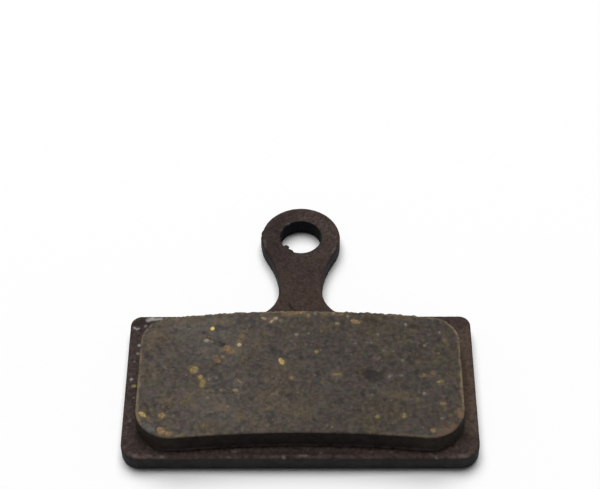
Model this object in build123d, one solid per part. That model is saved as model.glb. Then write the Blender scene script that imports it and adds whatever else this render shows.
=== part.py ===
from build123d import *
import os
from math import cos, radians, sin, sqrt, tan

# A two-piece brake pad: a steel backing plate stamped with a stem and a pin eyelet, and the
# friction block moulded onto its front face. The pad lies on its back face, friction side up.
# The origin is on the axis of the eyelet's bore at the back face, +Z points from the plate to the
# friction face, and the stem runs from the eyelet along -Y. All sizes are in millimetres.

# Backing plate
plate_width = 36.0
plate_height = 17.9
plate_thickness = 1.9
shoulder_corner_r = 1.2  # the two corners beside the stem
foot_corner_r = 2.0  # the two corners of the opposite edge
front_edge_r = 0.3  # die roll and wear round the front face
back_edge_r = 0.2  # deburred edge round the back face

# Eyelet, which hangs on the caliper's pad pin
eyelet_od = 8.7
eyelet_bore = 4.5

# Stem between the eyelet and the plate
stem_width = 4.7
stem_taper = 28.0  # degrees between the eyelet's tangent flanks and the stem's axis
stem_blend_r = 9.0  # flank into the parallel neck
stem_neck_length = 0.4
stem_base_r = 3.4  # neck into the plate's shoulder

# Friction block, seated on the plate's front face
block_side_margin = 1.4  # plate left bare on each side of the block's foot
block_front_margin = 1.5  # plate left bare below the block's foot, at mid width
block_shoulder_margin = 1.0  # plate left bare above the block's foot, at mid width
block_height = 2.35
block_rim_corner_r = 2.8  # the two corners beside the stem
block_inner_corner_r = 4.2  # the two corners of the opposite edge
block_draft = 2.0  # degrees
block_rim_r = 0.25
rim_arc_r = 115.0  # block edge beside the stem, which follows the disc's rim
inner_arc_r = 125.0  # opposite edge, nearer the disc's hub

# Places along the stem, worked out down from the bore's axis
eyelet_r = eyelet_od / 2
half_stem = stem_width / 2
taper = radians(stem_taper)
flank_x = eyelet_r * cos(taper)
flank_y = -eyelet_r * sin(taper)
neck_corner_y = flank_y - (flank_x - half_stem) / tan(taper)
neck_end_y = neck_corner_y - stem_blend_r * tan(taper / 2) - stem_neck_length
shoulder_y = neck_end_y - stem_base_r
foot_y = shoulder_y - plate_height


def plate_outline():
    """The stamping's outline: half of it drawn down from the eyelet's top, then mirrored."""
    half_width = plate_width / 2
    crown = CenterArc((0, 0), eyelet_r, -stem_taper, 90 + stem_taper)
    side = FilletPolyline(
        (flank_x, flank_y),
        (half_stem, neck_corner_y),
        (half_stem, shoulder_y),
        (half_width, shoulder_y),
        (half_width, foot_y),
        (0, foot_y),
        radius=[stem_blend_r, stem_base_r, shoulder_corner_r, foot_corner_r],
    )
    half = crown + side
    return make_face(half + mirror(half, about=Plane.YZ))


def backing_plate():
    plate = extrude(plate_outline(), plate_thickness)
    front_edges = plate.faces().sort_by(Axis.Z)[-1].edges()
    plate = fillet(front_edges, front_edge_r)
    back_edges = plate.faces().sort_by(Axis.Z)[0].edges()
    plate = fillet(back_edges, back_edge_r)
    bore = extrude(Circle(eyelet_bore / 2), plate_thickness)
    return plate - bore


def arc_drop(radius, half_span):
    """How far an arc's ends lie below its middle."""
    return radius - sqrt(radius**2 - half_span**2)


def block_outline():
    """The block's foot: straight sides, and two arcs that both bow towards the stem."""
    half_width = plate_width / 2 - block_side_margin
    rim_y = shoulder_y - block_shoulder_margin
    inner_y = foot_y + block_front_margin
    rim_end_y = rim_y - arc_drop(rim_arc_r, half_width)
    inner_end_y = inner_y - arc_drop(inner_arc_r, half_width)
    rim_left = (-half_width, rim_end_y)
    rim_right = (half_width, rim_end_y)
    inner_left = (-half_width, inner_end_y)
    inner_right = (half_width, inner_end_y)
    outline = make_face([
        ThreePointArc(inner_left, (0, inner_y), inner_right).edge(),
        Line(inner_right, rim_right).edge(),
        ThreePointArc(rim_right, (0, rim_y), rim_left).edge(),
        Line(rim_left, inner_left).edge(),
    ])
    inner_corners = outline.vertices().sort_by(Axis.Y)[:2]
    outline = fillet(inner_corners, block_inner_corner_r)
    rim_corners = outline.vertices().sort_by(Axis.Y)[-2:]
    return fillet(rim_corners, block_rim_corner_r)


def friction_block():
    foot = Pos(0, 0, plate_thickness) * block_outline()
    block = extrude(foot, block_height, taper=block_draft)
    rim_edges = block.faces().sort_by(Axis.Z)[-1].edges()
    return fillet(rim_edges, block_rim_r)


os.makedirs("parts", exist_ok=True)
export_step(backing_plate(), "parts/backing_plate.step")
export_step(friction_block(), "parts/friction_block.step")
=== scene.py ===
import random
from collections import defaultdict
from math import ceil, cos, floor, pi, radians, sin, sqrt, tan

import bpy
from mathutils import Matrix, Vector, kdtree, noise
from mathutils.geometry import delaunay_2d_cdt


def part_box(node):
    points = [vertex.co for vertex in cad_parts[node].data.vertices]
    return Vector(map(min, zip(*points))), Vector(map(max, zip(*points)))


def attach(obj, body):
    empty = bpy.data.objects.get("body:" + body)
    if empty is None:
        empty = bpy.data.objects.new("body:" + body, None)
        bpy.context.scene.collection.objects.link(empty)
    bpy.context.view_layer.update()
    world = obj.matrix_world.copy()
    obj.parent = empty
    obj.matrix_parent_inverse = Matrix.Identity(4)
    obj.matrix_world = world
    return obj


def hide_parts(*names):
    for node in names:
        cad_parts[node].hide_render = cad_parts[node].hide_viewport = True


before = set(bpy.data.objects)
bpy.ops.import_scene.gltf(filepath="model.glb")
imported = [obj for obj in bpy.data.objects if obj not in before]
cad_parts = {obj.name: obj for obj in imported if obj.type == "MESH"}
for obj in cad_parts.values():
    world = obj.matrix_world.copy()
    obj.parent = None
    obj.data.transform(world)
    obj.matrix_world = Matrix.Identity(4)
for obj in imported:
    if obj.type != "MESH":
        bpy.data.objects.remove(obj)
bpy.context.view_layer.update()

# A disc brake pad on a white floor: a coated steel backing plate and the friction block on it.
# Lengths are in millimetres until a mesh is made, in the solids' own frame: the origin is on the
# bore's axis at the back face, the stem runs along -Y and the friction face looks along +Z.

MM = 0.001
plate_low, plate_high = [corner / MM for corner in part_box("backing_plate")]
block_low, block_high = [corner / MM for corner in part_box("friction_block")]

# Camera, matched to the photograph
IMAGE_WIDTH = 600
IMAGE_HEIGHT = 489
LENS = 96.68
SENSOR_WIDTH = 36.0
AIM = Vector((-0.1, 0.515, 0.0))
AIM_DISTANCE = 180.1
VIEW_ELEVATION = 50.17  # degrees, as the turn and the roll
VIEW_TURN = 0.627
VIEW_ROLL = -0.582
NEAREST_SEEN = 1.0
FARTHEST_SEEN = 10000.0

# Light
KEY_SHARE = 0.94  # of the light on the floor
SKY_SHARE = 0.09  # comes evenly from all round
KEY_DIRECTION = Vector((-0.06, 0.43, 0.92))
KEY_DISTANCE = 4500.0
KEY_SIZE = 3600.0
FLOOR_SIZE = 3000.0
FLOOR_WHITE = 0.97
FLOOR_ROUGHNESS = 0.9

# Backing plate
PLATE_TOP = plate_high.z
HALF_WIDTH = plate_high.x
FOOT_Y = plate_low.y
EYELET_R = plate_high.y
BORE_R = 2.25
STEM_WIDTH = 4.7
STEM_TAPER = radians(28.0)
STEM_BLEND_R = 9.0
STEM_NECK_LENGTH = 0.4
STEM_BASE_R = 3.4
SHOULDER_CORNER_R = 1.2
FOOT_CORNER_R = 2.0
FRONT_EDGE_R = 0.3
BACK_EDGE_R = 0.2
BORE_EDGE_R = 0.04

# Friction block
FACE_TOP = block_high.z
BLOCK_HEIGHT = block_high.z - block_low.z
BLOCK_HALF_WIDTH = block_high.x
BLOCK_FRONT_MARGIN = 1.5
BLOCK_RIM_CORNER_R = 2.8
BLOCK_INNER_CORNER_R = 4.2
BLOCK_DRAFT = radians(2.0)
BLOCK_RIM_R = 0.25
RIM_ARC_R = 115.0
INNER_ARC_R = 125.0
DIM_SPAN = (-11.0, 9.0)  # the face darkens a little between these places along X

# Wear of the block
FACE_SINK = 0.028  # the ground face lies this far below its proudest grains
LEAST_SINK = 0.004
WALL_SINK = 0.0295
PIT_DEPTH = 0.13
CHIP_DEPTH = 0.07
CHIP_SETBACK = 0.04
FRAY_DEPTH = 0.1
FRAY_REACH = 0.28

# Wear of the plate
PEBBLE_SINK = 0.0192
WAVE_DEPTH = 0.005
SCAR_DEPTH = 0.06
BURR_HEIGHT = 0.1
BORE_BURR_HEIGHT = 0.42

# Layers of relief: each one's height, the size of its lumps and its seed
FACE_LAYERS = [(0.018, 2.2, 1), (0.020, 0.8, 2), (0.016, 0.33, 3), (0.008, 0.19, 4)]
WALL_LAYERS = [(0.0175, 0.7, 10), (0.012, 0.25, 11)]
RIM_LAYERS = [(0.1, 0.7, 12), (0.05, 0.3, 13)]
COATING_LAYERS = [(0.020, 0.3, 21), (0.012, 0.16, 22)]
SEED_SHIFT = Vector((37.1, 17.3, 5.7))

# Mesh
CURVE_STEP = 0.02
FACE_STEP = 0.105
PLATE_STEP = 0.12
PLATE_WALL_STEP = 1.2 * PLATE_STEP
BACK_STEP = 0.3
HIDDEN_STEP = 1.2
RIM_STEPS = 5  # from the block's wall to its face
EDGE_STEPS = 4  # round each edge of the plate
FACE_RINGS = 3  # inside the rim, before the lattice begins
LATTICE_GAP = 0.7  # between the last ring and the lattice, in steps
LATTICE_WOBBLE = 0.2  # in steps too
COVERED_INSET = 0.8  # the plate's fine mesh ends this far under the block
BACK_INSET = 0.5
MERGE_GAP = 1e-7


def soft(low, high, value):
    """A smooth step from 0 at low to 1 at high."""
    share = min(max((value - low) / (high - low), 0.0), 1.0)
    return share * share * (3.0 - 2.0 * share)


def grain(point, size, seed):
    """Smooth noise of about -1 to 1 with lumps of the given size."""
    return noise.noise(point / size + SEED_SHIFT * seed)


def layered(point, layers):
    """The height that layers of noise add up to at a point."""
    return sum(height * grain(point, size, seed) for height, size, seed in layers)


# Camera geometry

def camera_turn():
    turn = Matrix.Rotation(radians(VIEW_TURN), 3, "Z")
    tilt = Matrix.Rotation(radians(90.0 - VIEW_ELEVATION), 3, "X")
    roll = Matrix.Rotation(radians(VIEW_ROLL), 3, "Z")
    return turn @ tilt @ roll


def camera_place():
    return AIM + camera_turn() @ Vector((0.0, 0.0, AIM_DISTANCE))


def on_level(x, y, level):
    """The point at a height above the floor that the camera sees at a pixel of the photograph."""
    pixel_size = SENSOR_WIDTH / IMAGE_WIDTH / LENS
    across = (x + 0.5 - IMAGE_WIDTH / 2) * pixel_size
    up = (IMAGE_HEIGHT / 2 - y - 0.5) * pixel_size
    ray = camera_turn() @ Vector((across, up, -1.0))
    place = camera_place()
    return place + ray * ((level - place.z) / ray.z)


# Outlines

def arc_points(centre, radius, start, end):
    count = ceil(radius * abs(end - start) / CURVE_STEP)
    angles = [start + (end - start) * i / count for i in range(count + 1)]
    return [centre + Vector((cos(a), sin(a))) * radius for a in angles]


def rounded_path(corners, radii):
    """A path along straight runs, with each corner between them rounded to its radius."""
    corners = [Vector(corner) for corner in corners]
    path = [corners[0]]
    for before, corner, after, radius in zip(corners, corners[1:], corners[2:], radii):
        back = (before - corner).normalized()
        on = (after - corner).normalized()
        half = back.angle(on) / 2
        centre = corner + (back + on).normalized() * (radius / sin(half))
        first = corner + back * (radius / tan(half)) - centre
        last = corner + on * (radius / tan(half)) - centre
        count = ceil(radius * (pi - 2 * half) / CURVE_STEP)
        for i in range(count + 1):
            path.append(centre + first.slerp(last, i / count).normalized() * radius)
    path.append(corners[-1])
    return path


def even_loop(path, step):
    """A closed path divided into even steps, counter-clockwise as the path is."""
    ends = path[1:] + path[:1]
    total = sum((b - a).length for a, b in zip(path, ends))
    count = round(total / step)
    loop = []
    walked = 0.0
    for a, b in zip(path, ends):
        run = (b - a).length
        while len(loop) < count and len(loop) * total / count < walked + run:
            loop.append(a.lerp(b, (len(loop) * total / count - walked) / run))
        walked += run
    return loop


def inward_ways(loop):
    """The unit vector into the loop at each of its points."""
    ways = []
    for i in range(len(loop)):
        along = loop[(i + 1) % len(loop)] - loop[i - 1]
        ways.append(Vector((-along.y, along.x)).normalized())
    return ways


def plate_loop():
    """The stamping's outline: half of it down from the eyelet's top, and its mirror image."""
    half_stem = STEM_WIDTH / 2
    flank = Vector((EYELET_R * cos(STEM_TAPER), -EYELET_R * sin(STEM_TAPER)))
    neck_y = flank.y - (flank.x - half_stem) / tan(STEM_TAPER)
    shoulder_y = neck_y - STEM_BLEND_R * tan(STEM_TAPER / 2) - STEM_NECK_LENGTH - STEM_BASE_R
    crown = arc_points(Vector((0, 0)), EYELET_R, pi / 2, -STEM_TAPER)
    corners = [
        (flank.x, flank.y),
        (half_stem, neck_y),
        (half_stem, shoulder_y),
        (HALF_WIDTH, shoulder_y),
        (HALF_WIDTH, FOOT_Y),
        (0, FOOT_Y),
    ]
    side = rounded_path(corners, [STEM_BLEND_R, STEM_BASE_R, SHOULDER_CORNER_R, FOOT_CORNER_R])
    right = crown + side[1:]
    left = [Vector((-p.x, p.y)) for p in right[-2:0:-1]]
    return even_loop((right + left)[::-1], PLATE_STEP)


def bow(radius, x):
    """How far an arc has dropped at a distance from its middle."""
    return radius - sqrt(radius**2 - x**2)


def block_loop():
    """The block's foot: a rounded rectangle whose two long edges bow towards the stem."""
    inner_y = FOOT_Y + BLOCK_FRONT_MARGIN
    rim_y = block_high.y
    middle_y = (inner_y + rim_y) / 2
    corners = [
        (-BLOCK_HALF_WIDTH, middle_y),
        (-BLOCK_HALF_WIDTH, inner_y),
        (BLOCK_HALF_WIDTH, inner_y),
        (BLOCK_HALF_WIDTH, rim_y),
        (-BLOCK_HALF_WIDTH, rim_y),
        (-BLOCK_HALF_WIDTH, middle_y + FACE_STEP),
    ]
    radii = [BLOCK_INNER_CORNER_R, BLOCK_INNER_CORNER_R, BLOCK_RIM_CORNER_R, BLOCK_RIM_CORNER_R]
    bowed = []
    for p in even_loop(rounded_path(corners, radii), FACE_STEP):
        share = (p.y - inner_y) / (rim_y - inner_y)
        drop = (1 - share) * bow(INNER_ARC_R, p.x) + share * bow(RIM_ARC_R, p.x)
        bowed.append(Vector((p.x, p.y - drop)))
    return even_loop(bowed, FACE_STEP)


# Mesh building

class Skin:
    """A mesh in the making: its points, the way the surface faces at each, and its faces."""

    def __init__(self):
        self.points = []
        self.facing = []
        self.faces = []

    def add(self, point, facing):
        self.points.append(Vector(point))
        self.facing.append(Vector(facing).normalized())
        return len(self.points) - 1

    def ring(self, loop, inward, inset, z, tilt):
        """A closed ring of points set in from a loop, facing outward and up by the tilt."""
        made = []
        for p, way in zip(loop, inward):
            facing = (-way.x * cos(tilt), -way.y * cos(tilt), sin(tilt))
            made.append(self.add((p.x + way.x * inset, p.y + way.y * inset, z), facing))
        return made

    def bridge(self, low, high):
        for i in range(len(low)):
            j = (i + 1) % len(low)
            self.faces.append((low[i], low[j], high[j], high[i]))

    def walls(self, rings):
        for low, high in zip(rings, rings[1:]):
            self.bridge(low, high)

    def fill(self, rings, inner, z, up):
        """A flat face inside the first ring, round the other rings, through the inner points."""
        used = [index for ring in rings for index in ring]
        used += [self.add((p.x, p.y, z), (0, 0, up)) for p in inner]
        borders = []
        start = 0
        for ring in rings:
            count = len(ring)
            borders += [(start + i, start + (i + 1) % count) for i in range(count)]
            start += count
        flat = [self.points[index].xy for index in used]
        made = delaunay_2d_cdt(flat, borders, [], 1, MERGE_GAP)
        source = [used[origins[0]] for origins in made[3]]
        holes = [set(ring) for ring in rings[1:]]
        for triangle in made[2]:
            face = [source[i] for i in triangle]
            if any(hole.issuperset(face) for hole in holes):
                continue
            self.faces.append(face if up > 0 else face[::-1])


def nearest_finder(loop):
    tree = kdtree.KDTree(len(loop))
    for i, p in enumerate(loop):
        tree.insert((p.x, p.y, 0), i)
    tree.balance()
    return tree


def set_in(loop, inward, inset):
    return [p + way * inset for p, way in zip(loop, inward)]


def lattice(loops, step, seed):
    """Points of a slightly uneven triangular lattice inside the first loop and outside the others."""
    rand = random.Random(seed)
    row_step = step * sqrt(3) / 2
    low = min(p.y for p in loops[0])
    high = max(p.y for p in loops[0])
    edges = [(a, b) for loop in loops for a, b in zip(loop, loop[1:] + loop[:1])]
    points = []
    for row in range(1, floor((high - low) / row_step) + 1):
        y = low + row * row_step
        shift = step / 2 * (row % 2)
        crossings = sorted(
            a.x + (b.x - a.x) * (y - a.y) / (b.y - a.y) for a, b in edges if (a.y > y) != (b.y > y)
        )
        for left, right in zip(crossings[::2], crossings[1::2]):
            for k in range(ceil((left - shift) / step), floor((right - shift) / step) + 1):
                wobble = [rand.uniform(-LATTICE_WOBBLE, LATTICE_WOBBLE) for _ in range(2)]
                points.append(Vector((k * step + shift, y)) + Vector(wobble) * step)
    return points


def add_object(name, data):
    made = bpy.data.objects.new(name, data)
    bpy.context.scene.collection.objects.link(made)
    return made


def finish_mesh(name, skin, material, masks):
    """The mesh object of a skin, in metres, with a named value at each point for every mask."""
    mesh = bpy.data.meshes.new(name)
    mesh.from_pydata([tuple(p * MM) for p in skin.points], [], skin.faces)
    mesh.validate()
    mesh.shade_smooth()
    for mask, values in masks.items():
        mesh.attributes.new(mask, "FLOAT", "POINT").data.foreach_set("value", values)
    mesh.materials.append(material)
    piece = add_object(name, mesh)
    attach(piece, "root")
    return piece


def even_heights(low, high, step):
    count = ceil((high - low) / step)
    return [low + (high - low) * i / count for i in range(count + 1)]


# Marks left by moulding, grinding and use, and some painted light and shade, at pixels of the photograph

class Mark:
    """A soft streak between two pixels on a level, with its reach and its strength."""

    CORE = 0.35  # the share of its reach within which it has its full strength
    SHORTEST = 1e-9

    def __init__(self, level, start_x, start_y, end_x, end_y, reach, strength):
        self.start = on_level(start_x, start_y, level).xy
        self.run = on_level(end_x, end_y, level).xy - self.start
        self.reach = reach
        self.strength = strength

    def at(self, point):
        offset = point.xy - self.start
        long = max(self.run.length_squared, self.SHORTEST)
        nearest = self.run * min(max(offset.dot(self.run) / long, 0.0), 1.0)
        distance = (offset - nearest).length
        if distance > self.reach:
            return 0.0
        return self.strength * soft(self.reach, self.CORE * self.reach, distance)


def strongest(marks, point):
    return max(mark.at(point) for mark in marks)


# Each mark: pixel x and y of its start and of its end, its reach and its strength
FACE_MARKS = {}
PLATE_MARKS = {}

FACE_MARKS["pit"] = {
    "left_gash": (216, 342, 223, 345, 0.4, 1.0),
    "left_small": (194, 354, 196, 355, 0.3, 0.7),
    "corner_small": (145, 404, 147, 407, 0.3, 0.8),
    "left_dot": (161, 382, 162, 383, 0.25, 0.8),
    "centre_brown": (270, 347, 275, 352, 0.5, 0.7),
    "right_large": (368, 373, 373, 377, 0.92, 1.1),
    "right_core": (374, 372, 375, 379, 0.4, 1.3),
    "right_upper": (373, 346, 377, 350, 0.45, 0.6),
    "right_far": (369, 320, 374, 322, 0.5, 0.6),
    "right_corner": (428, 418, 436, 424, 0.6, 0.5),
    "low_dot": (255, 412, 256, 413, 0.3, 0.5),
    "groove_lower": (222, 360, 204, 375, 0.32, 0.65),
}

FACE_MARKS["tan"] = {
    "corner_upper_left": (151, 337, 161, 325, 0.8, 0.5),
    "far_left": (163, 321, 200, 320, 0.5, 0.5),
    "groove_upper": (242, 335, 237, 345, 0.5, 1.0),
    "groove_middle": (224, 348, 233, 350, 0.7, 1.0),
    "groove_pink": (215, 357, 222, 360, 0.6, 0.9),
    "low_middle": (262, 404, 306, 408, 1.5, 0.25),
    "low_left": (180, 398, 240, 410, 1.4, 0.15),
    "far_crumbs": (262, 318, 280, 320, 0.45, 0.7),
    "far_ledge": (283, 313.4, 303, 312.4, 0.42, 0.9),
    "far_patch": (230, 322, 216, 321, 0.6, 0.5),
    "far_right": (390, 316, 415, 318, 0.5, 0.5),
    "right_spot": (424, 374, 433, 373, 0.5, 0.6),
    "right_band": (385, 392, 412, 396, 0.8, 0.35),
    "front_right": (372, 428, 372, 430, 0.5, 0.35),
    "corner_tail": (146, 417, 151, 420, 0.35, 0.8),
    "left_streak": (160, 333, 168, 336, 0.3, 0.6),
    "left_stain": (218, 406, 226, 409, 0.6, 0.6),
}

FACE_MARKS["light"] = {
    "upper_left": (185, 327, 222, 328, 2.2, 0.8),
    "left_middle": (196, 345, 228, 352, 2.0, 0.6),
    "left_low": (200, 398, 230, 412, 1.6, 0.5),
    "far_right": (350, 334, 352, 345, 0.7, 0.5),
    "right_haze": (376, 345, 384, 350, 0.7, 0.6),
    "right_streak": (384, 380, 394, 372, 0.35, 0.7),
    "corner_low": (372, 388, 386, 392, 0.7, 0.35),
    "corner_low_left": (144.5, 426, 151, 428.5, 0.6, 1.6),
}

FACE_MARKS["grey"] = {
    "left_oval": (215, 376, 218, 381, 0.85, 1.0),
    "left_upper": (188, 345, 194, 348, 0.65, 0.6),
}

FACE_MARKS["orange"] = {
    "right_pink": (374, 357, 376, 358, 0.35, 0.4),
    "corner_lower_right": (441, 432, 452, 428, 0.8, 0.55),
    "corner_lower_inner": (436, 427, 446, 424, 0.7, 0.2),
    "right_blob": (460, 410, 461, 415, 0.5, 0.95),
    "left_low": (221, 406, 224, 407, 0.4, 0.35),
    "far_ledge": (284, 313.6, 297, 312.6, 0.38, 0.5),
}

FACE_MARKS["line"] = {
    "left_corner": (150, 329, 143, 341, 0.8, 0.45),
    "left_upper": (141, 351, 139, 372, 0.8, 0.5),
    "left_lower": (138, 381, 135, 411, 0.9, 0.95),
    "left_corner_pale": (136, 413, 138, 421, 0.6, 1.0),
    "far_left": (163, 320, 205, 316.5, 0.7, 0.5),
    "far_left_inner": (205, 316.5, 252, 314, 0.7, 0.5),
    "far_middle": (262, 314, 303, 313, 0.7, 0.8),
    "far_right": (315, 313, 345, 313, 0.6, 0.5),
    "far_right_end": (385, 315, 424, 318, 0.7, 0.7),
    "right_corner_upper": (424, 318, 446, 325, 0.9, 0.8),
    "right_corner": (446, 325, 457, 339, 0.9, 1.0),
    "right_upper": (458, 343, 460, 369, 0.8, 0.75),
    "right_lower": (461, 376, 463, 404, 0.9, 1.0),
    "front_left": (175, 437, 208, 435, 0.7, 0.45),
    "front_right": (385, 434, 432, 436, 0.7, 0.35),
}

# Painted light: lighter patches on the block's side wall near its corners, where more light falls from
# the sides
SIDE_PAINTED_LIGHT = {
    "left_corner": (140, 436, 165, 446, 2.0, 0.55),
    "right_corner": (428, 442, 458, 436, 2.2, 0.85),
    "right_middle": (410, 440, 420, 442, 1.4, 0.35),
}

PLATE_MARKS["bare"] = {
    "shoulder_chip": (149, 318.9, 161, 318.4, 0.24, 0.72),
    "shoulder_chip_end": (147.5, 319.6, 152, 318.0, 0.32, 0.8),
    "left_dot_fine": (134, 361, 134, 361, 0.16, 0.25),
    "left_dot_small": (133, 397, 133, 397, 0.16, 0.2),
    "shoulder_crescent": (133.6, 326.8, 136.4, 328.8, 0.15, 0.62),
    "shoulder_crescent_end": (136.6, 328.8, 138.4, 327.8, 0.15, 0.55),
    "shoulder_streak": (144.2, 326.0, 145.8, 325.0, 0.15, 0.35),
    "left_dot_upper": (138.8, 344.8, 139.2, 344.8, 0.24, 0.58),
    "left_dot_middle": (137, 353, 138, 353, 0.18, 0.4),
    "left_dot_lower": (131, 379, 131, 379, 0.22, 0.9),
    "left_dot_low": (129, 420.5, 129, 420.5, 0.22, 0.1),
    "foot_left_dot": (161, 456, 162, 456, 0.24, 0.3),
    "foot_right_dot": (435, 456, 436, 457, 0.2, 0.25),
    "margin_dot_left": (148, 446, 148, 446, 0.22, 0.18),
    "margin_dot_middle": (232, 450, 234.5, 450.5, 0.26, 0.3),
    "margin_dot_centre": (320, 452, 321, 452, 0.2, 0.16),
    "margin_dot_far": (389, 452, 391, 451, 0.2, 0.18),
    "margin_dot_right": (430, 453, 432, 455, 0.22, 0.18),
    "edge_dot_left": (226, 456, 229, 456.5, 0.22, 0.1),
    "edge_dot_middle": (282.5, 456, 283.5, 457, 0.22, 0.26),
    "edge_dash": (299, 455, 306, 455, 0.18, 0.22),
    "ring_left_rim": (264, 240, 265, 246, 0.2, 0.09),
    "ring_right_rim": (332, 252, 335, 247, 0.18, 0.1),
    "bore_nick_upper": (287.5, 223.6, 288.5, 223.2, 0.2, 0.13),
    "bore_nick_left": (281.3, 229.3, 281.7, 229.9, 0.2, 0.07),
}

# Wear along the plate's front edge, with a painted highlight line along its rounding
PLATE_MARKS["worn_and_highlit"] = {
    "foot_left": (129, 455, 163, 456.5, 0.45, 1.1),
    "foot_middle": (166, 456.5, 430, 456, 0.4, 0.6),
    "foot_right": (437, 456.5, 466, 455.5, 0.4, 1.0),
}

# Dust beside the block; the same mask also carries painted fill light below the block's front wall
PLATE_MARKS["dust_and_fill"] = {
    "right_margin": (466, 335, 472, 425, 1.6, 0.36),
}

PLATE_MARKS["scar"] = {
    "stem_scratch": (288.3, 303.5, 292.3, 308.6, 0.14, 1.0),
    "stem_left": (279, 289, 279, 294, 0.2, 0.6),
    "shoulder_corner": (138, 322, 146, 320, 0.6, 0.25),
}

PLATE_MARKS["burr"] = {
    "ring_left_upper": (262.2, 231, 262.2, 231.6, 0.28, 0.9),
    "ring_left_lower": (261.2, 235.6, 261.2, 236.4, 0.24, 0.7),
}

PLATE_MARKS["bore_burr"] = {
    "lower_left": (283.2, 247.0, 285.6, 249.0, 0.26, 1.0),
    "lower_left_tail": (287.6, 250.4, 291.0, 252.0, 0.26, 0.55),
}

PLATE_MARKS["dark"] = {
    "ring_left": (267, 229, 271, 252, 1.8, 0.85),
    "ring_left_lower": (270, 252, 279, 266, 1.2, 0.35),
    "ring_top_left": (272, 226, 300, 215, 1.5, 0.5),
    "left_corner": (137, 322, 142, 338, 1.2, 0.55),
    "left_margin": (136, 342, 128, 440, 1.3, 0.55),
    "stem_upper": (286, 262, 306, 268, 1.8, 0.32),
    # Painted shade in the middle of the front margin, in the block's shadow, tempering the painted fill
    # light there
    "front_margin": (245, 454, 350, 454, 0.6, 0.5),
    "front_left_corner": (130, 446, 155, 452, 1.0, 0.6),
    # Painted shadow on the plate beside the block's lower left corner
    "block_left_corner_shadow": (137, 433, 144, 446, 0.75, 0.95),
}

PLATE_MARKS["olive"] = {
    "right_margin": (467, 335, 472, 425, 1.6, 0.8),
    "stem_low": (288, 302, 316, 296, 2.4, 0.6),
    "stem_patch": (282, 272, 292, 274, 0.8, 0.6),
    "ring_low": (300, 256, 320, 262, 1.3, 0.4),
    "left_foot": (124, 440, 128, 452, 1.0, 0.35),
}

PLATE_MARKS["speckle"] = {
    "left_margin": (135, 335, 124, 440, 1.5, 0.8),
    "front_left": (130, 452, 200, 454, 1.2, 0.5),
    "front_right": (400, 453, 470, 450, 1.2, 0.5),
    "ring_right": (312, 220, 334, 240, 1.5, 0.85),
    "ring_top": (300, 217, 316, 215, 1.2, 0.9),
    "ring_low": (300, 256, 326, 250, 1.0, 0.4),
}


def marks_on(level, table):
    return [Mark(level, *mark) for mark in table.values()]


# Friction block

def block_skin(loop, inward):
    """The block's clean form: a closed foot, drafted walls, a rounded rim and the face."""
    skin = Skin()
    rim_z = FACE_TOP - BLOCK_RIM_R
    draft = tan(BLOCK_DRAFT)
    heights = even_heights(block_low.z, rim_z, FACE_STEP)
    rings = [skin.ring(loop, inward, (z - block_low.z) * draft, z, BLOCK_DRAFT) for z in heights]
    wall_inset = (rim_z - block_low.z) * draft
    for i in range(1, RIM_STEPS + 1):
        tilt = pi / 2 * i / RIM_STEPS
        inset = wall_inset + BLOCK_RIM_R * (1 - cos(tilt))
        rings.append(skin.ring(loop, inward, inset, rim_z + BLOCK_RIM_R * sin(tilt), tilt))
    face_inset = wall_inset + BLOCK_RIM_R
    for i in range(1, FACE_RINGS + 1):
        rings.append(skin.ring(loop, inward, face_inset + i * FACE_STEP, FACE_TOP, pi / 2))
    skin.walls(rings)
    lattice_inset = face_inset + (FACE_RINGS + LATTICE_GAP) * FACE_STEP
    inner = lattice([set_in(loop, inward, lattice_inset)], FACE_STEP, 1)
    skin.fill([rings[-1]], inner, FACE_TOP, 1)
    hidden = lattice([set_in(loop, inward, HIDDEN_STEP)], HIDDEN_STEP, 2)
    skin.fill([rings[0]], hidden, block_low.z, -1)
    return skin


def face_relief(point, pits):
    """Height of the ground face above its mean, with the pits in it, and how deep it is pitted."""
    hollow = soft(0.28, 0.6, grain(point, 0.95, 5)) * soft(-0.2, 0.4, grain(point, 3.5, 6))
    pit = max(strongest(pits, point) * (0.75 + 0.5 * grain(point, 0.4, 7)), 0.55 * hollow)
    return layered(point, FACE_LAYERS) - PIT_DEPTH * pit, pit


def block_marks():
    """The marks on the block by name. The flakes have smooth beds, and most of them tan halos."""
    marks = {name: marks_on(FACE_TOP, table) for name, table in FACE_MARKS.items()}
    marks["side_painted_light"] = marks_on(block_low.z + BLOCK_HEIGHT / 2, SIDE_PAINTED_LIGHT)
    marks["bed"] = []
    for table in (BRASS_FLAKES, COPPER_GRAINS, CREAM_GRAINS):
        marks["tan"] += halos(table, STAIN_REACH, STAIN_STRENGTH)
    for table in (BRASS_FLAKES, COPPER_GRAINS, PALE_GRAINS, CREAM_GRAINS):
        marks["bed"] += halos(table, BED_REACH, 1.0)
    return marks


def wear_block(point, facing, gap, far, marks):
    """Where wear leaves a point that lies a gap in from the outline, and how deep it is pitted."""
    place = point.copy()
    if facing.z < 0:
        return place, 0.0
    share = (point.z - block_low.z) / BLOCK_HEIGHT
    relief, pit = face_relief(point, marks["pit"])
    relief *= 1 - strongest(marks["bed"], point)
    break_up = grain(Vector((point.x, 0, 0)), 1.3, 8) + 0.5 * grain(point, 0.45, 9)
    chip = (0.15 + 0.85 * far) * soft(-0.1, 0.8, break_up) * soft(0.75, 0.2, gap)
    fray = far * soft(0.6, 0.2, gap) * grain(point, 0.4, 14)
    sunk = min(relief - FACE_SINK, -LEAST_SINK) * facing.z
    sunk -= CHIP_DEPTH * chip + FRAY_DEPTH * max(fray, 0.0)
    setback = CHIP_SETBACK * chip + FRAY_REACH * fray * (0.3 + 0.7 * facing.z)
    wall = WALL_SINK + layered(point, WALL_LAYERS)
    place.z += sunk * share**3
    place -= Vector((facing.x, facing.y, 0)) * (wall * share + setback * share**3)
    return place, pit


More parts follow.
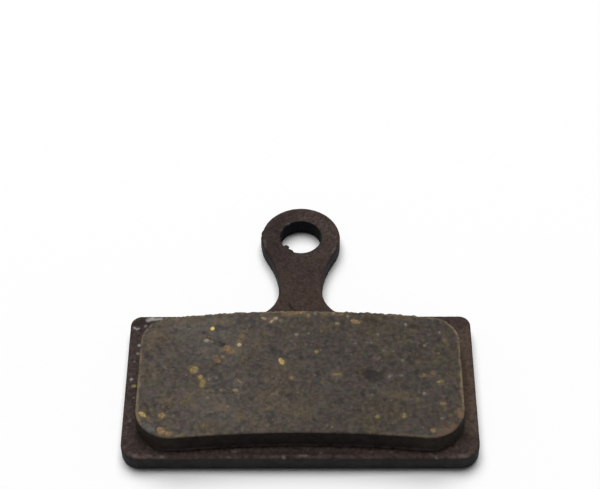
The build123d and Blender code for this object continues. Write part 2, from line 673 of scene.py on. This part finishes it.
def block_masks(point, facing, gap, inward_y, marks):
    """The masks at a point of the block, apart from that of the pits."""
    up = max(facing.z, 0.0)
    on_face = soft(0.1, 0.5, up)
    names = ("tan", "orange", "light", "grey", "line", "side_painted_light")
    found = {name: strongest(marks[name], point) for name in names}
    found["tan"] *= on_face
    found["orange"] *= on_face
    found["rim"] = soft(0.48, 0.3, gap + layered(point, RIM_LAYERS)) * soft(0.15, 0.5, up)
    found["line"] *= found["rim"]
    found["skin"] = soft(0.75, 0.25, facing.z)
    # Painted light: the side wall lighter near its foot, against the shade where it meets the plate
    found["foot"] = soft(0.58, 0.1, point.z - block_low.z) * soft(0.05, 0.5, inward_y)
    found["dim"] = soft(*DIM_SPAN, point.x)
    return found


def weather_block(skin, loop, inward):
    """Moves the clean form's points to where wear leaves them and gives the masks at each point."""
    tree = nearest_finder(loop)
    marks = block_marks()
    masks = defaultdict(list)
    for index, (point, facing) in enumerate(zip(skin.points, skin.facing)):
        _, nearest, gap = tree.find((point.x, point.y, 0))
        inward_y = inward[nearest].y
        far = soft(0.5, 0.9, -inward_y)
        found = block_masks(point, facing, gap, inward_y, marks)
        skin.points[index], pit = wear_block(point, facing, gap, far, marks)
        found["pit"] = pit * soft(0.5, 0.9, facing.z)
        for name, value in found.items():
            masks[name].append(value)
    return masks


def friction_block():
    loop = block_loop()
    inward = inward_ways(loop)
    skin = block_skin(loop, inward)
    masks = weather_block(skin, loop, inward)
    piece = finish_mesh("friction_compound_block", skin, compound_material(), masks)
    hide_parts("friction_block")


# Backing plate

def plate_skin(loop, inward, block):
    """The stamping's clean form: back face, rounded edges, walls, front face and the bore."""
    skin = Skin()
    rings = []
    for i in range(EDGE_STEPS + 1):
        tilt = pi / 2 * (i / EDGE_STEPS - 1)
        inset = BACK_EDGE_R * (1 - cos(tilt))
        rings.append(skin.ring(loop, inward, inset, BACK_EDGE_R * (1 + sin(tilt)), tilt))
    for z in even_heights(BACK_EDGE_R, PLATE_TOP - FRONT_EDGE_R, PLATE_WALL_STEP)[1:]:
        rings.append(skin.ring(loop, inward, 0.0, z, 0.0))
    for i in range(1, EDGE_STEPS + 1):
        tilt = pi / 2 * i / EDGE_STEPS
        inset = FRONT_EDGE_R * (1 - cos(tilt))
        z = PLATE_TOP - FRONT_EDGE_R * (1 - sin(tilt))
        rings.append(skin.ring(loop, inward, inset, z, tilt))
    skin.walls(rings)
    bore, bore_rings = bore_wall(skin)
    clear_of_bore = [p * (1 + PLATE_STEP / BORE_R) for p in bore]
    block_inward = inward_ways(block)
    covered = set_in(block, block_inward, COVERED_INSET)
    inside = set_in(loop, inward, FRONT_EDGE_R + LATTICE_GAP * PLATE_STEP)
    shown = lattice([inside, clear_of_bore, covered], PLATE_STEP, 3)
    hidden = lattice([set_in(block, block_inward, HIDDEN_STEP)], HIDDEN_STEP, 4)
    skin.fill([rings[-1], bore_rings[-1]], shown + hidden, PLATE_TOP, 1)
    back = lattice([set_in(loop, inward, BACK_INSET), clear_of_bore], BACK_STEP, 5)
    skin.fill([rings[0], bore_rings[0]], back, 0.0, -1)
    return skin


def bore_wall(skin):
    """The pin hole's wall, with its edges just broken. Gives its outline and its rings."""
    circle = arc_points(Vector((0, 0)), BORE_R, 0.0, 2 * pi)[:-1]
    loop = even_loop(circle, PLATE_STEP)
    outward = [-way for way in inward_ways(loop)]
    levels = [(BORE_EDGE_R, 0.0), (0.0, BORE_EDGE_R)]
    heights = even_heights(BORE_EDGE_R, PLATE_TOP - BORE_EDGE_R, PLATE_STEP)[1:]
    levels += [(0.0, z) for z in heights]
    levels.append((BORE_EDGE_R, PLATE_TOP))
    rings = [skin.ring(loop, outward, wider, z, 0.0) for wider, z in levels]
    for low, high in zip(rings, rings[1:]):
        skin.bridge(high, low)
    return set_in(loop, outward, BORE_EDGE_R), rings


def wear_plate(point, facing, gap, scar, marks):
    """Where wear leaves a point that lies a gap in from the outline."""
    place = point.copy()
    up = max(facing.z, 0.0)
    pebble = (0.3 + 0.7 * up) * (PEBBLE_SINK + layered(point, COATING_LAYERS))
    wave = WAVE_DEPTH * (1 + grain(point, 1.8, 23))
    burr = strongest(marks["burr"], point) * soft(0.35, 0.1, gap) * soft(0.9, 0.5, up)
    if facing.z > -0.5:
        place -= facing * (max(pebble, 0.0) + wave + SCAR_DEPTH * scar - BURR_HEIGHT * burr)
    spur = strongest(marks["bore_burr"], point) * soft(BORE_R + 0.2, BORE_R + 0.08, point.xy.length)
    spur *= soft(0.55, 0.9, point.z / PLATE_TOP)
    return place - point.xy.normalized().to_3d() * BORE_BURR_HEIGHT * spur


def painted_fill_and_dust(point, tree, inward):
    """Dust and painted fill light on the plate beside the block, most of it below the block's front
    wall, where it lightens the shade the block casts.
    """
    _, nearest, gap = tree.find((point.x, point.y, 0))
    below = soft(0.5, 0.9, inward[nearest].y)
    return soft(0.95, 0.1, gap) * (0.06 + 0.94 * below)


def plate_masks(point, facing, gap, fill_and_dust_share, marks):
    """The masks at a point of the plate."""
    up = max(facing.z, 0.0)
    front = soft(0.8, 0.95, point.z / PLATE_TOP)
    names = ("bare", "scar", "dark", "olive", "speckle")
    found = {name: strongest(marks[name], point) * front for name in names}
    found["dust_and_fill"] = max(fill_and_dust_share, strongest(marks["dust_and_fill"], point)) * front
    found["edge"] = soft(0.7, 0.45, gap) * soft(0.5, 0.9, up)
    found["worn_and_highlit"] = found["edge"] * strongest(marks["worn_and_highlit"], point)
    found["wall"] = soft(0.6, 0.2, abs(facing.z))
    # Painted shade: the pin hole's wall darker than the other walls
    found["bore"] = soft(BORE_R + 0.3, BORE_R + 0.1, point.xy.length) * soft(0.5, 0.2, up)
    return found


def weather_plate(skin, loop, block):
    """Moves the clean form's points to where wear leaves them and gives the masks at each point."""
    tree = nearest_finder(loop)
    block_tree = nearest_finder(block)
    block_inward = inward_ways(block)
    marks = {name: marks_on(PLATE_TOP, table) for name, table in PLATE_MARKS.items()}
    masks = defaultdict(list)
    for index, (point, facing) in enumerate(zip(skin.points, skin.facing)):
        gap = tree.find((point.x, point.y, 0))[2]
        fill_and_dust_share = painted_fill_and_dust(point, block_tree, block_inward)
        found = plate_masks(point, facing, gap, fill_and_dust_share, marks)
        skin.points[index] = wear_plate(point, facing, gap, found["scar"], marks)
        for name, value in found.items():
            masks[name].append(value)
    return masks


def plate_flecks():
    skin = Skin()
    tones = set_named(skin, PLATE_FLECKS, PLATE_TOP, random.Random(14))
    piece = finish_mesh("plate_flecks", skin, grain_material("brass"), {"tone": tones})


def backing_plate():
    loop = plate_loop()
    block = block_loop()
    skin = plate_skin(loop, inward_ways(loop), block)
    masks = weather_plate(skin, loop, block)
    piece = finish_mesh("coated_backing_plate", skin, coating_material(), masks)
    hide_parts("backing_plate")


# Flakes and grains set in the face

# Each flake: pixel x and y of its middle, its sizes along and across, its turn and its tone
BRASS_FLAKES = {
    "upper_left_round": (212, 328, 0.46, 0.56, 0, 0.95),
    "middle_oval": (281, 361, 0.62, 0.95, 25, 0.55),
    "left_patch": (193.5, 369, 0.95, 0.9, 20, 0.24),
    "left_patch_tail": (190.5, 366.5, 0.4, 0.4, 0, 0.1),
    "left_hook_upper": (200, 376.5, 0.52, 0.62, 20, 0.32),
    "left_hook_middle": (202.5, 381, 0.7, 0.75, -20, 0.2),
    "left_hook_lower": (202, 384.5, 0.72, 0.75, 10, 0.18),
    "middle_right": (316, 351, 0.46, 0.46, 0, 0.24),
    "right_streak": (336, 374, 1.2, 0.32, 0, 0.15),
    "right_corner_streak": (440, 381, 0.85, 0.4, 5, 0.2),
    "right_low": (404, 415, 0.48, 0.66, 0, 0.17),
    "right_low_left": (377, 416, 0.48, 0.46, 0, 0.17),
    "corner_low_right": (433, 430, 0.6, 0.56, 0, 0.14),
    "corner_low_left": (142, 414, 1.05, 0.48, -40, 0.45),
    "low_left_dot": (203, 425, 0.42, 0.45, 0, 0.06),
    "right_green": (444, 340, 0.45, 0.4, 0, 0.07),
}

COPPER_GRAINS = {
    "far_large": (355, 321, 1.1, 0.62, -20, 0.45),
    "right_arc": (443, 403, 0.75, 0.42, -10, 0.36),
    "left_round": (161, 415, 0.76, 0.8, 0, 0.46),
    "left_low_first": (160.5, 430.5, 0.98, 0.8, -25, 0.48),
    "left_low_second": (168, 433, 0.8, 0.56, -10, 0.38),
    "middle_drop": (291, 377, 0.4, 0.6, 10, 0.36),
    "right_upper": (424, 375, 0.5, 0.46, 0, 0.26),
    "right_upper_tall": (432, 373, 0.4, 0.6, 0, 0.16),
    "groove_tan": (227, 348, 0.85, 0.85, -15, 0.36),
    "groove_tan_low": (232, 351, 0.6, 0.65, 20, 0.3),
    "groove_pink": (215.5, 356, 0.45, 0.48, 30, 0.26),
    "groove_pink_right": (222, 356.5, 0.46, 0.5, 0, 0.3),
    "groove_pink_low": (218.5, 361, 0.5, 0.46, 0, 0.3),
    "far_ledge": (289, 314, 0.8, 0.3, 15, 0.28),
    "far_ledge_middle": (296, 313, 0.7, 0.3, 25, 0.32),
    "far_ledge_right": (308, 315, 0.38, 0.62, 0, 0.42),
    "far_ledge_end": (300.5, 312.4, 0.46, 0.36, 0, 0.48),
    "far_line_first": (323, 314, 0.8, 0.26, 0, 0.2),
    "far_line_second": (341, 314, 0.6, 0.3, -10, 0.26),
}

PALE_GRAINS = {
    "left_white": (206, 340, 0.66, 0.54, -15, 0.5),
    "left_white_tail": (211, 341, 0.45, 0.42, 0, 0.16),
    "hook_white": (208.5, 378.5, 0.42, 0.46, 0, 0.16),
    "centre_white": (296, 334, 0.5, 0.46, 0, 0.3),
    "swirl_upper": (377, 334, 0.52, 0.34, -40, 0.13),
    "swirl_left": (369, 342, 0.85, 0.28, -8, 0.1),
    "swirl_right": (383, 350, 0.52, 0.34, -40, 0.15),
    "swirl_outer": (355, 343, 0.38, 0.36, 0, 0.13),
    "far_right": (405, 324, 0.36, 0.44, 0, 0.4),
    "right_green": (424, 345, 0.42, 0.42, 0, 0.16),
    "right_low": (424, 393, 0.42, 0.5, 0, 0.28),
    "right_middle": (402, 360, 0.38, 0.36, 0, 0.22),
    "right_inner": (401, 375, 0.48, 0.34, 0, 0.2),
    "right_tall": (389, 376, 0.36, 0.6, -25, 0.2),
    "right_dot": (442, 418, 0.45, 0.4, 0, 0.16),
    "right_far_dot": (439, 332, 0.36, 0.4, 0, 0.2),
    "centre_small": (308, 333, 0.3, 0.3, 0, 0.18),
    "low_pale": (207, 397, 0.42, 0.36, 0, 0.22),
    "low_streak": (206, 412, 1.2, 0.26, 0, 0.1),
    "low_dot": (227, 406, 0.4, 0.36, 0, 0.24),
    "left_beige": (189, 329, 0.45, 0.45, 0, 0.14),
    "far_white_middle": (314.5, 313.2, 0.4, 0.36, 0, 0.22),
    "far_grey": (280, 320, 0.4, 0.36, 0, 0.18),
}

CREAM_GRAINS = {
    "groove_bright": (239, 344, 0.5, 0.5, 15, 0.88),
    "centre_dash": (235, 390, 0.62, 0.48, -10, 0.38),
    "centre_streak": (239, 381, 0.85, 0.24, -40, 0.28),
    "far_pale": (263.5, 318, 0.6, 0.4, -30, 0.66),
    "far_crumb": (275, 318, 0.6, 0.48, 20, 0.72),
    "far_crumb_tail": (271, 321, 0.62, 0.36, 50, 0.66),
    "far_white": (333, 313, 0.38, 0.42, 0, 0.42),
    "far_middle": (336.5, 323, 0.48, 0.34, 0, 0.52),
    "far_spot": (347, 316, 0.36, 0.34, 0, 0.28),
}

PLATE_FLECKS = {
    "left_yellow": (133.5, 385.5, 0.62, 0.42, 0, 0.22),
}

STAIN_REACH = 0.24
STAIN_STRENGTH = 0.55
BED_REACH = 0.22
FLAKE_SPREAD = 1.1  # the flakes' sizes are those of their brighter middles
FLAKE_SIDES = 14
FLAKE_HEIGHT = FACE_SINK - 0.006  # just short of the proudest grains
LUMP_ROOT = 0.1
LUMP_REACH = (0.84, 1.1)  # of a lump's corners, as a share of its size
SPECK_COUNT = 150
SPECK_SIDES = 7
SPECK_SIZE = (0.14, 0.34)
SPECK_STRETCH = (0.6, 1.6)
SPECK_TONE = (0.0, 0.09)
SPECK_SIDE_MARGIN = 0.7
SPECK_END_MARGIN = 1.2


def halos(table, reach, strength):
    """Soft spots on the face that reach beyond the flakes of a table."""
    marks = []
    for x, y, along, across, _, _ in table.values():
        marks.append(Mark(FACE_TOP, x, y, x, y, max(along, across) / 2 + reach, strength))
    return marks


def add_lump(skin, centre, along, across, angle, height, sides, rand):
    """A low closed lump set into the surface: four rings, from the root to the crown, and two tips.

    Each ring has its share of the lump's size, its height and its share of the lump's own tone.
    Gives that last share at each of the lump's points.
    """
    turn = Matrix.Rotation(radians(angle), 2)
    reach = [rand.uniform(*LUMP_REACH) for _ in range(sides)]
    levels = [
        (0.85, -LUMP_ROOT, 0.0),
        (1.0, -0.1 * LUMP_ROOT, 0.15),
        (0.88, 0.45 * height, 0.75),
        (0.55, height, 1.0),
    ]
    rings = []
    shares = []
    for scale, z, share in levels:
        ring = []
        shares += [share] * sides
        for i in range(sides):
            a = 2 * pi * i / sides
            flat = turn @ Vector((cos(a) * along / 2, sin(a) * across / 2)) * (scale * reach[i])
            ring.append(skin.add((centre.x + flat.x, centre.y + flat.y, centre.z + z), (0, 0, 1)))
        rings.append(ring)
    skin.walls(rings)
    root = skin.add((centre.x, centre.y, centre.z - LUMP_ROOT), (0, 0, -1))
    crown = skin.add((centre.x, centre.y, centre.z + 0.92 * height), (0, 0, 1))
    for i in range(sides):
        j = (i + 1) % sides
        skin.faces.append((rings[0][j], rings[0][i], root))
        skin.faces.append((rings[-1][i], rings[-1][j], crown))
    return shares + [0.0, 1.0]


def set_named(skin, table, level, rand):
    """The flakes or grains of a table, set into a surface a little below a level. Gives their tones."""
    tones = []
    for x, y, along, across, angle, tone in table.values():
        spot = on_level(x, y, level) - Vector((0, 0, FACE_SINK))
        size = (along * FLAKE_SPREAD, across * FLAKE_SPREAD)
        shares = add_lump(skin, spot, *size, angle, FLAKE_HEIGHT, FLAKE_SIDES, rand)
        tones += [tone * share for share in shares]
    return tones


def set_grains(name, table, speck_share, kind, seed):
    """One piece of all the flakes or grains of a kind: the large ones by name, small ones at random."""
    rand = random.Random(seed)
    skin = Skin()
    tones = set_named(skin, table, FACE_TOP, rand)
    pits = marks_on(FACE_TOP, FACE_MARKS["pit"])
    low = block_low.y + SPECK_END_MARGIN
    high = block_high.y - SPECK_END_MARGIN
    for _ in range(round(SPECK_COUNT * speck_share)):
        x = rand.uniform(-1, 1) * (BLOCK_HALF_WIDTH - SPECK_SIDE_MARGIN)
        y = rand.uniform(low, high) - bow(RIM_ARC_R, x) / 2
        size = rand.uniform(*SPECK_SIZE)
        stretch = rand.uniform(*SPECK_STRETCH)
        spot = Vector((x, y, FACE_TOP - FACE_SINK))
        if strongest(pits, spot) > 0:
            continue
        angle = rand.uniform(0, 180)
        shares = add_lump(skin, spot, size * stretch, size, angle, FACE_SINK / 2, SPECK_SIDES, rand)
        tone = rand.uniform(*SPECK_TONE)
        tones += [tone * share for share in shares]
    piece = finish_mesh(name, skin, grain_material(kind), {"tone": tones})


# Materials

COMPOUND_TONES = {
    "olive": (0.069, 0.064, 0.050),
    "mauve": (0.080, 0.061, 0.058),
    "ochre": (0.098, 0.075, 0.048),
    "slate": (0.047, 0.044, 0.043),
    "umber": (0.082, 0.066, 0.048),
    "light": (0.102, 0.094, 0.086),
    "grey": (0.060, 0.056, 0.052),
    "ochre_blob": (0.112, 0.094, 0.054),
    "dark_blob": (0.044, 0.037, 0.036),
    "pink_blob": (0.124, 0.090, 0.077),
    "green_blob": (0.049, 0.050, 0.038),
    "dots": (0.17, 0.15, 0.12),
    "tan": (0.145, 0.108, 0.066),
    "orange": (0.165, 0.105, 0.067),
    # painted shade in the pits and hollows
    "pit": (0.026, 0.023, 0.024),
    "rim": (0.120, 0.098, 0.070),
    "line": (0.190, 0.142, 0.088),
    "skin_dark": (0.0145, 0.0120, 0.0112),
    "skin_light": (0.0220, 0.0180, 0.0160),
    # painted light on the side wall's corners
    "side_painted_light": (0.034, 0.027, 0.023),
    # painted light at the side wall's foot
    "foot": (0.084, 0.068, 0.060),
}

COATING_TONES = {
    "dark_brown": (0.038, 0.026, 0.023),
    "brown": (0.050, 0.034, 0.029),
    "warm_brown": (0.048, 0.035, 0.027),
    # dust, and painted fill light below the block's front wall
    "dust_and_fill_dark": (0.115, 0.079, 0.068),
    "dust_and_fill_light": (0.165, 0.117, 0.100),
    "olive": (0.051, 0.037, 0.026),
    "olive_dust": (0.094, 0.067, 0.047),
    "dark": (0.026, 0.019, 0.017),
    "mauve": (0.048, 0.031, 0.033),
    "grit": (0.150, 0.118, 0.108),
    "pores": (0.034, 0.023, 0.022),
    "dots": (0.19, 0.16, 0.15),
    # the walls' neutral, slightly bluish tones are a painted reflection of the floor over the dark brown
    # coating
    "wall_dark": (0.027, 0.026, 0.028),
    "wall_light": (0.035, 0.034, 0.036),
    # painted shade in the pin hole
    "bore": (0.013, 0.013, 0.015),
    "edge": (0.080, 0.060, 0.054),
    # worn front edge with its painted highlight
    "worn_and_highlit": (0.105, 0.082, 0.077),
    "bare": (0.4, 0.38, 0.37),
    "scar": (0.010, 0.009, 0.009),
}

# Grains: tone at the foot, tone of the brightest, span of roughness, metallic share and seed
GRAIN_KINDS = {
    "brass": ((0.072, 0.055, 0.026), (0.52, 0.395, 0.142), (0.5, 0.7), 0.1, 41),
    "copper": ((0.078, 0.055, 0.033), (0.33, 0.218, 0.112), (0.6, 0.8), 0.1, 51),
    "cream_mineral": ((0.078, 0.064, 0.048), (0.38, 0.295, 0.205), (0.65, 0.9), 0.0, 71),
    "mineral": ((0.076, 0.068, 0.057), (0.36, 0.325, 0.255), (0.65, 0.9), 0.0, 61),
}

MATT_SPECULAR = 0.04
GRAIN_SPECULAR = 0.1
BUMP_DEPTH = 0.02


class Nodes:
    """Short names for the nodes of one material, with its tones by name and its colour so far.

    A layer is a noise's size, its seed and, where they are not plain, its detail and roughness.
    A span is the range of values that counts and, where it is not 0 to 1, what it is spread over.
    """

    SEED_STRIDE = 3.7

    def __init__(self, name, tones):
        self.tones = tones
        self.colour = None
        self.material = bpy.data.materials.new(name)
        self.material.use_nodes = True
        self.tree = self.material.node_tree
        self.shader = self.tree.nodes["Principled BSDF"]
        self.where = self.add("TexCoord", {})["Object"]

    def plug(self, node, inputs):
        """Links a node's inputs, by name or number, to sockets, or sets their values."""
        for name, source in inputs.items():
            if isinstance(source, bpy.types.NodeSocket):
                self.tree.links.new(source, node.inputs[name])
            else:
                node.inputs[name].default_value = source

    def add(self, kind, inputs, **settings):
        """The outputs of a new node."""
        node = self.tree.nodes.new("ShaderNode" + kind)
        for name, value in settings.items():
            setattr(node, name, value)
        self.plug(node, inputs)
        return node.outputs

    def texture(self, size, seed):
        return {"Vector": self.where, "W": seed * self.SEED_STRIDE, "Scale": 1 / (size * MM)}

    def noise(self, size, seed, detail=2.0, rough=0.5):
        inputs = {**self.texture(size, seed), "Detail": detail, "Roughness": rough}
        return self.add("TexNoise", inputs, noise_dimensions="4D")[0]

    def cells(self, size, seed):
        """Distance to the nearest of scattered points, in cell sizes, and a random value of its cell."""
        made = self.add("TexVoronoi", self.texture(size, seed), voronoi_dimensions="4D")
        return made["Distance"], made["Color"]

    def mask(self, name):
        return self.add("Attribute", {}, attribute_name=name)["Fac"]

    def spread(self, value, low, high, to_low=0.0, to_high=1.0):
        """A value's range from low to high, spread smoothly over another range."""
        inputs = {"Value": value, "From Min": low, "From Max": high, "To Min": to_low, "To Max": to_high}
        return self.add("MapRange", inputs, interpolation_type="SMOOTHSTEP")[0]

    def patches(self, layer, span):
        return self.spread(self.noise(*layer), *span)

    def times(self, a, b):
        return self.add("Math", {0: a, 1: b}, operation="MULTIPLY")[0]

    def mix(self, share, a, b):
        """Two colours, named tones or sockets, mixed by the share of the second."""
        a, b = [(*self.tones[c], 1.0) if isinstance(c, str) else c for c in (a, b)]
        return self.add("Mix", {0: share, 6: a, 7: b}, data_type="RGBA")[2]

    def cover(self, share, tone):
        """Lays a tone over the colour so far."""
        self.colour = self.mix(share, self.colour, tone)

    def cloud(self, layer, span, tone):
        """Lays patches of a tone over the colour so far."""
        self.cover(self.patches(layer, span), tone)

    def tint(self, mask, most):
        """Lays the mask's own tone over the colour so far."""
        self.cover(self.times(self.mask(mask), most), mask)

    def stain(self, mask, most, layer, span, tone=None):
        """Lays patches of a tone, by default the mask's own, where the mask is."""
        share = self.times(self.mask(mask), self.patches(layer, span))
        self.cover(self.times(share, most), tone or mask)

    def dots(self, most, size, seed, near_span, pick_span):
        """Lays pale dots in some of the cells."""
        near, pick = self.cells(size, seed)
        share = self.times(self.spread(near, *near_span), self.spread(pick, *pick_span))
        self.cover(self.times(share, most), "dots")

    def brighten(self, factor):
        """Multiplies the colour so far by a varying factor."""
        self.colour = self.add("VectorMath", {0: self.colour, "Scale": factor}, operation="SCALE")[0]

    def finish(self, layer, roughness, bump_layer, specular, metallic=0.0):
        """The material in the colour so far, with its roughness in patches and a fine relief."""
        bump = {"Strength": 1.0, "Distance": BUMP_DEPTH * MM, "Height": self.noise(*bump_layer)}
        self.plug(self.shader, {
            "Base Color": self.colour,
            "Roughness": self.patches(layer, (0.3, 0.7, *roughness)),
            "Specular IOR Level": specular,
            "Metallic": metallic,
            "Normal": self.add("Bump", bump)[0],
        })
        return self.material


def compound_material():
    n = Nodes("friction_compound", COMPOUND_TONES)
    n.colour = "olive"
    n.cloud((0.42, 1), (0.35, 0.65), "mauve")
    n.cloud((1.5, 2, 4.0, 0.6), (0.5, 0.74), "ochre")
    n.cloud((1.1, 3, 4.0, 0.6), (0.5, 0.72), "slate")
    n.cloud((5.0, 4), (0.45, 0.8), "umber")
    n.tint("light", 0.5)
    n.tint("grey", 0.8)
    patchy = n.patches((1.8, 18), (0.38, 0.62, 0.2, 0.8))
    for size, seed, bright, dark in [
        (0.66, 16, "ochre_blob", "dark_blob"),
        (0.43, 17, "pink_blob", "green_blob"),
    ]:
        near, pick = n.cells(size, seed)
        blob = n.times(n.spread(near, 0.6, 0.25), patchy)
        n.cover(n.times(blob, n.spread(pick, 0.6, 0.75)), bright)
        n.cover(n.times(blob, n.spread(pick, 0.4, 0.25)), dark)
    n.brighten(n.patches((0.4, 5), (0.3, 0.7, 0.76, 1.24)))
    n.brighten(n.spread(n.mask("dim"), 0.0, 1.0, 1.08, 0.86))
    n.dots(0.4, 0.55, 6, (0.26, 0.12), (0.72, 0.8))
    n.stain("tan", 1.0, (0.5, 7, 3.0), (0.32, 0.6))
    n.stain("orange", 1.0, (0.5, 12), (0.15, 0.55))
    # Painted shade: darker in the pits and hollows
    n.tint("pit", 0.75)
    n.stain("rim", 0.4, (0.9, 8, 3.0), (0.48, 0.7))
    n.stain("line", 1.0, (0.5, 13), (0.28, 0.6))
    face = n.colour
    n.colour = "skin_dark"
    n.cloud((0.8, 9, 3.0), (0.35, 0.65), "skin_light")
    # Painted light: the side wall's corners lighter, where more light falls from the sides
    n.stain("side_painted_light", 1.0, (0.7, 14, 3.0), (0.3, 0.6))
    # Painted light: the side wall lighter near its foot, against the shade where it meets the plate
    n.stain("foot", 1.0, (0.6, 19, 3.0), (0.25, 0.6))
    n.colour = n.mix(n.mask("skin"), face, n.colour)
    return n.finish((0.5, 11), (0.75, 0.95), (0.13, 10), MATT_SPECULAR)


def coating_material():
    n = Nodes("coated_steel", COATING_TONES)
    n.colour = "dust_and_fill_dark"
    n.cloud((0.5, 33, 3.0), (0.35, 0.65), "dust_and_fill_light")
    dust_and_fill = n.colour
    # Painted reflection: the walls neutral and a little bluish, for the floor they reflect, where the
    # coating is dark brown
    n.colour = "wall_dark"
    n.cloud((1.2, 25), (0.4, 0.6), "wall_light")
    # Painted shade inside the pin hole
    n.cover(n.mask("bore"), "bore")
    wall = n.colour
    n.colour = "dark_brown"
    n.cloud((0.7, 21, 3.0), (0.35, 0.65), "brown")
    n.cloud((3.0, 22), (0.45, 0.75), "warm_brown")
    # Dust, and painted fill light that lightens the block's shade on the front margin
    n.cover(n.mask("dust_and_fill"), dust_and_fill)
    clean = n.spread(n.mask("dust_and_fill"), 0.0, 1.0, 1.0, 0.0)
    n.cover(n.times(n.mask("olive"), clean), "olive")
    n.cover(n.times(n.mask("olive"), n.mask("dust_and_fill")), "olive_dust")
    # Darker marks; the one beside the block's left corner is a painted shadow
    n.tint("dark", 0.8)
    n.cloud((0.6, 34, 3.0), (0.48, 0.7, 0.0, 0.6), "mauve")
    n.brighten(n.patches((0.26, 23), (0.3, 0.7, 0.72, 1.26)))
    n.stain("speckle", 0.3, (0.3, 30), (0.4, 0.66), "grit")
    n.stain("speckle", 0.6, (0.34, 31), (0.5, 0.7), "pores")
    n.dots(0.25, 0.42, 24, (0.26, 0.1), (0.76, 0.84))
    n.cover(n.mask("wall"), wall)
    n.stain("edge", 0.25, (1.1, 26, 3.0), (0.42, 0.66))
    # Wear and a painted highlight along the front edge
    n.stain("worn_and_highlit", 0.9, (0.5, 32, 3.0), (0.36, 0.6))
    n.stain("bare", 1.0, (0.35, 27), (0.22, 0.42))
    n.tint("scar", 0.8)
    return n.finish((0.4, 29), (0.6, 0.85), (0.15, 28), MATT_SPECULAR)


def grain_material(kind):
    foot, brightest, roughness, metallic, seed = GRAIN_KINDS[kind]
    n = Nodes(kind, {"foot": foot, "brightest": brightest})
    n.colour = n.mix(n.mask("tone"), "foot", "brightest")
    n.brighten(n.patches((0.25, seed), (0.3, 0.7, 0.7, 1.25)))
    return n.finish((0.25, seed + 2), roughness, (0.12, seed + 1), GRAIN_SPECULAR, metallic)


# Stage

def add_floor():
    half = FLOOR_SIZE / 2 * MM
    mesh = bpy.data.meshes.new("floor")
    corners = [(-half, -half, 0), (half, -half, 0), (half, half, 0), (-half, half, 0)]
    mesh.from_pydata(corners, [], [(0, 1, 2, 3)])
    floor_object = add_object("floor", mesh)
    material = bpy.data.materials.new("floor_white")
    material.use_nodes = True
    shader = material.node_tree.nodes["Principled BSDF"]
    shader.inputs["Base Color"].default_value = (FLOOR_WHITE, FLOOR_WHITE, FLOOR_WHITE, 1.0)
    shader.inputs["Roughness"].default_value = FLOOR_ROUGHNESS
    shader.inputs["Specular IOR Level"].default_value = 0.0
    mesh.materials.append(material)


def add_light():
    toward = KEY_DIRECTION.normalized()
    data = bpy.data.lights.new("key_light", "AREA")
    data.shape = "SQUARE"
    data.size = KEY_SIZE * MM
    spread = KEY_DISTANCE**2 + KEY_SIZE**2 / pi
    data.energy = KEY_SHARE * pi**2 * spread * MM**2 / toward.z
    lamp = add_object("key_light", data)
    lamp.location = toward * KEY_DISTANCE * MM
    lamp.rotation_euler = toward.to_track_quat("Z", "Y").to_euler()


def add_world():
    """White where it is seen, straight or in a reflection, and an even soft light elsewhere."""
    world = bpy.data.worlds.new("studio")
    bpy.context.scene.world = world
    world.use_nodes = True
    nodes = world.node_tree.nodes
    links = world.node_tree.links
    path = nodes.new("ShaderNodeLightPath")
    seen = path.outputs["Is Camera Ray"]
    for ray in ("Is Glossy Ray", "Is Transmission Ray"):
        either = nodes.new("ShaderNodeMath")
        either.operation = "MAXIMUM"
        links.new(seen, either.inputs[0])
        links.new(path.outputs[ray], either.inputs[1])
        seen = either.outputs[0]
    strength = nodes.new("ShaderNodeMapRange")
    strength.inputs["To Min"].default_value = SKY_SHARE
    strength.inputs["To Max"].default_value = 1.0
    links.new(seen, strength.inputs["Value"])
    background = nodes["Background"]
    background.inputs["Color"].default_value = (1.0, 1.0, 1.0, 1.0)
    links.new(strength.outputs[0], background.inputs["Strength"])


def add_camera():
    data = bpy.data.cameras.new("camera")
    data.lens = LENS
    data.sensor_fit = "HORIZONTAL"
    data.sensor_width = SENSOR_WIDTH
    data.clip_start = NEAREST_SEEN * MM
    data.clip_end = FARTHEST_SEEN * MM
    camera = add_object("camera", data)
    camera.matrix_world = Matrix.Translation(camera_place() * MM) @ camera_turn().to_4x4()
    bpy.context.scene.camera = camera


backing_plate()
friction_block()
plate_flecks()
set_grains("brass_flakes", BRASS_FLAKES, 0.15, "brass", 11)
set_grains("copper_grains", COPPER_GRAINS, 0.3, "copper", 12)
set_grains("pale_grains", PALE_GRAINS, 0.4, "mineral", 13)
set_grains("cream_grains", CREAM_GRAINS, 0.0, "cream_mineral", 15)
add_floor()
add_light()
add_world()
add_camera()
bpy.context.scene.view_settings.view_transform = "Standard"
